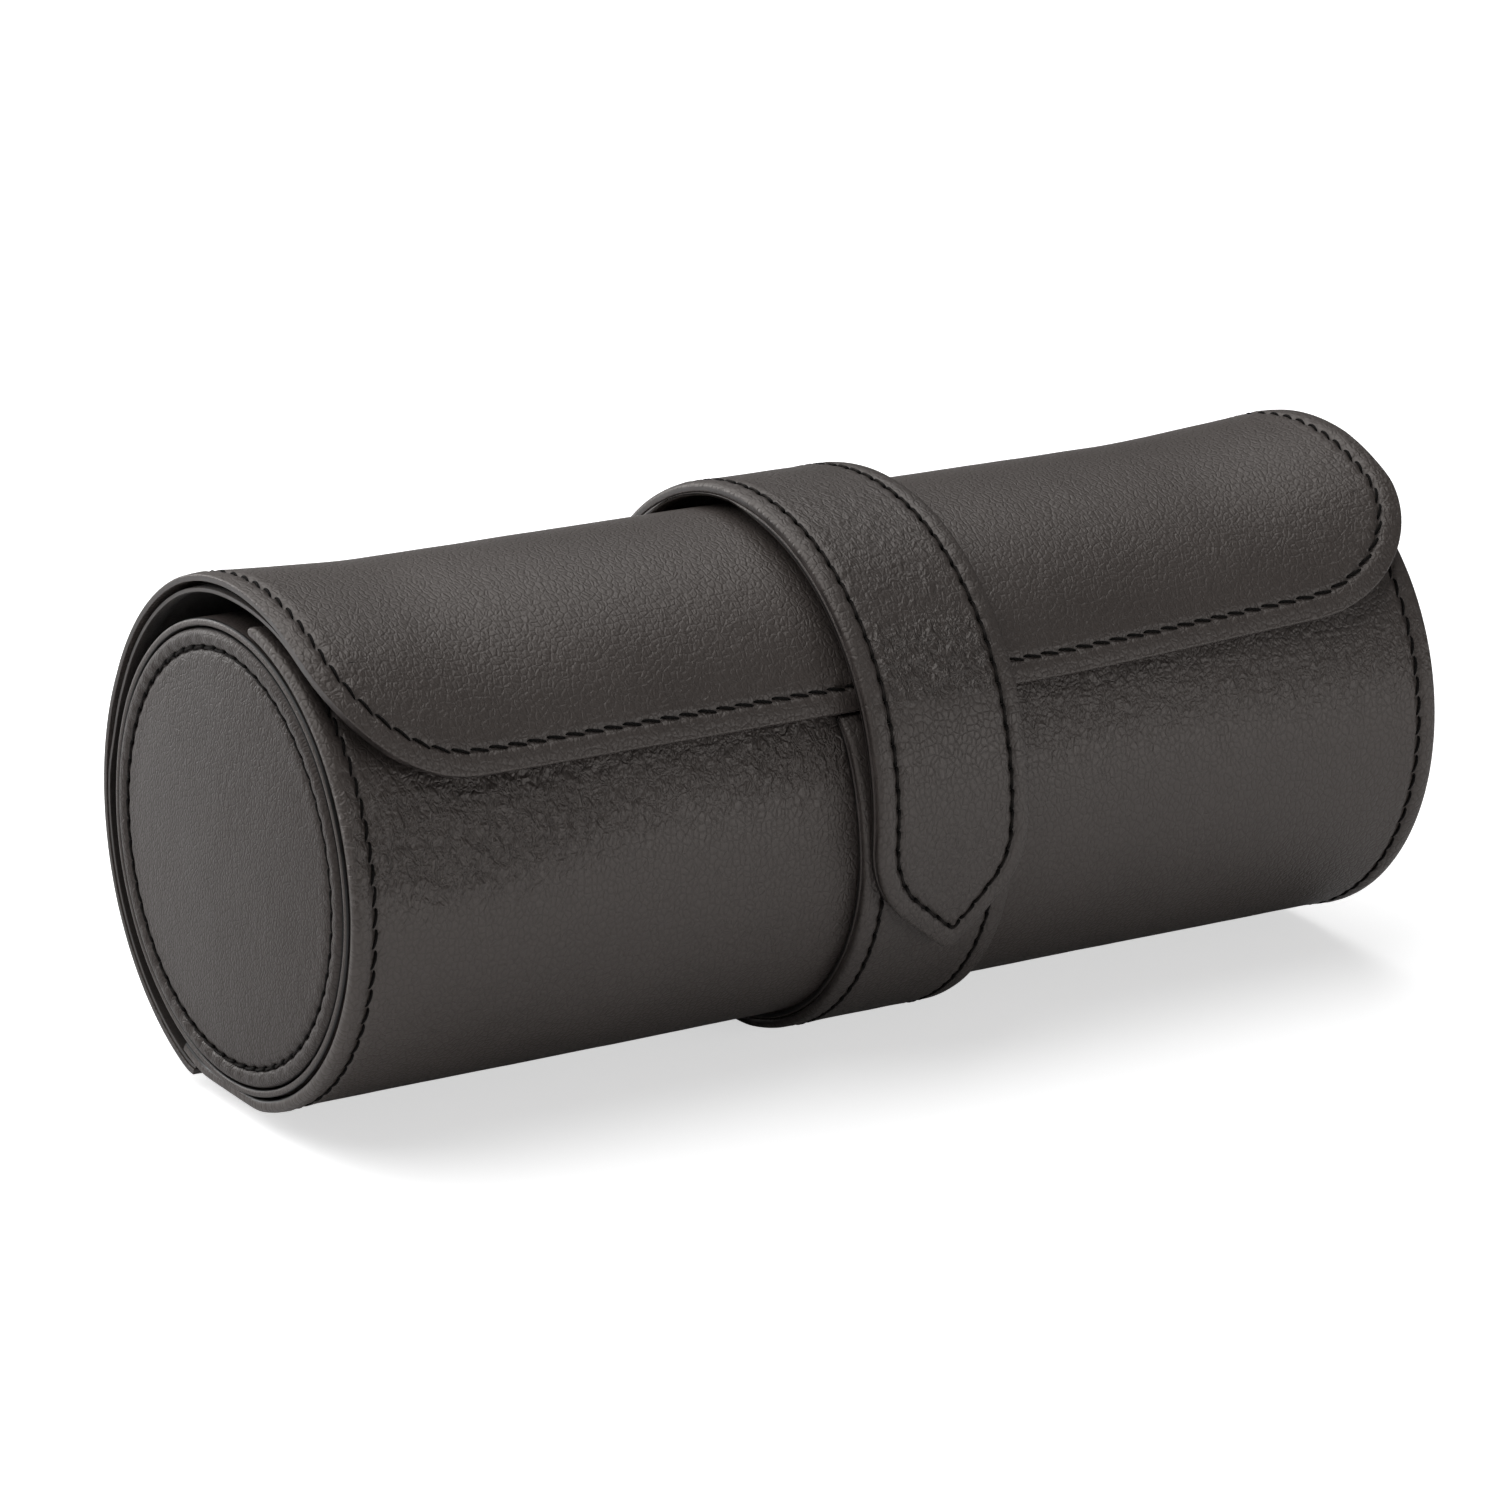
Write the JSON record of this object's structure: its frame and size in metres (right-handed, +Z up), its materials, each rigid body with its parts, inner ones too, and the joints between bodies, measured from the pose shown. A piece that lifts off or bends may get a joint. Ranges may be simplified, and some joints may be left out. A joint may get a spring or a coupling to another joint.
{
  "type": "watch roll",
  "caption": "Cylindrical leather watch roll, closed: padded round ends, a flap that wraps over a trough of watch pillows, and a strap with a pointed tab.",
  "frame": {"origin": "on the strap's flat underside, on the surface that the roll lies on, midway along the roll and under its axis", "axes": "+X along the roll, to the right seen from the front; +Y to the rear, where the flap is sewn; +Z up, away from the surface"},
  "size_m": [0.2132, 0.0922, 0.0885],
  "materials": {
    "leather": "fine pebbled grain, soft satin, near-black warm grey",
    "backing_leather": "smooth backing with painted, burnished edges",
    "band_leather": "smooth leather drawn over a board band",
    "suede": "short-napped suede lining",
    "pillow_suede": "short-napped suede over padding",
    "board": "pressed fibre board",
    "foam": "open-cell foam",
    "magnet": "nickel-plated disc",
    "thread": "waxed black thread"
  },
  "bodies": {
    "case": {"panel_leather": "leather", "panel_board": "board", "panel_lining": "suede", "flap_leather_seam": "leather", "flap_lining_seam": "suede", "left_rim_band": "band_leather", "right_rim_band": "band_leather", "left_end_leather": "leather", "right_end_leather": "leather", "left_end_pad": "foam", "right_end_pad": "foam", "left_end_board": "board", "right_end_board": "board", "left_end_lining": "suede", "right_end_lining": "suede", "left_divider_suede": "suede", "right_divider_suede": "suede", "left_divider_board": "board", "right_divider_board": "board", "left_pillow_cover": "pillow_suede", "middle_pillow_cover": "pillow_suede", "right_pillow_cover": "pillow_suede", "left_pillow_core": "foam", "middle_pillow_core": "foam", "right_pillow_core": "foam", "strap_leather_lower": "leather", "strap_lining_lower": "backing_leather", "strap_magnet": "magnet"},
    "flap_rear": {"flap_leather_rear": "leather", "flap_lining_rear": "suede", "strap_leather_rear": "leather", "strap_lining_rear": "backing_leather"},
    "flap_shoulder": {"flap_leather_shoulder": "leather", "flap_lining_shoulder": "suede", "strap_leather_shoulder": "leather", "strap_lining_shoulder": "backing_leather"},
    "flap_top": {"flap_leather_top": "leather", "flap_lining_top": "suede", "strap_leather_top": "leather", "strap_lining_top": "backing_leather"},
    "flap_front": {"flap_leather_front": "leather", "flap_lining_front": "suede", "strap_leather_front": "leather", "strap_lining_front": "backing_leather"},
    "tab": {"tab_leather": "leather", "tab_lining": "backing_leather", "tab_magnet": "magnet"}
  },
  "joints": [
    {"name": "flap_open", "type": "hinge", "parent": "case", "child": "flap_rear", "pos_m": [0, 0.03238, 0.01031], "axis": [-1, 0, 0], "range_deg": [0, 45]},
    {"name": "fold_shoulder", "type": "hinge", "parent": "flap_rear", "child": "flap_shoulder", "pos_m": [0, 0.04569, 0.04589], "axis": [-1, 0, 0], "range_deg": [0, 50]},
    {"name": "fold_top", "type": "hinge", "parent": "flap_shoulder", "child": "flap_top", "pos_m": [0, 0.02756, 0.07928], "axis": [-1, 0, 0], "range_deg": [0, 50]},
    {"name": "fold_front", "type": "hinge", "parent": "flap_top", "child": "flap_front", "pos_m": [0, -0.00952, 0.0875], "axis": [-1, 0, 0], "range_deg": [0, 50]},
    {"name": "tab_lift", "type": "hinge", "parent": "flap_front", "child": "tab", "pos_m": [0, -0.04104, 0.0642], "axis": [-1, 0, 0], "range_deg": [0, 100]}
  ],
  "couplings": [
    {"joint": "fold_shoulder", "follows": "flap_open", "ratio": 1.1111},
    {"joint": "fold_top", "follows": "flap_open", "ratio": 1.1111},
    {"joint": "fold_front", "follows": "flap_open", "ratio": 1.1111}
  ]
}
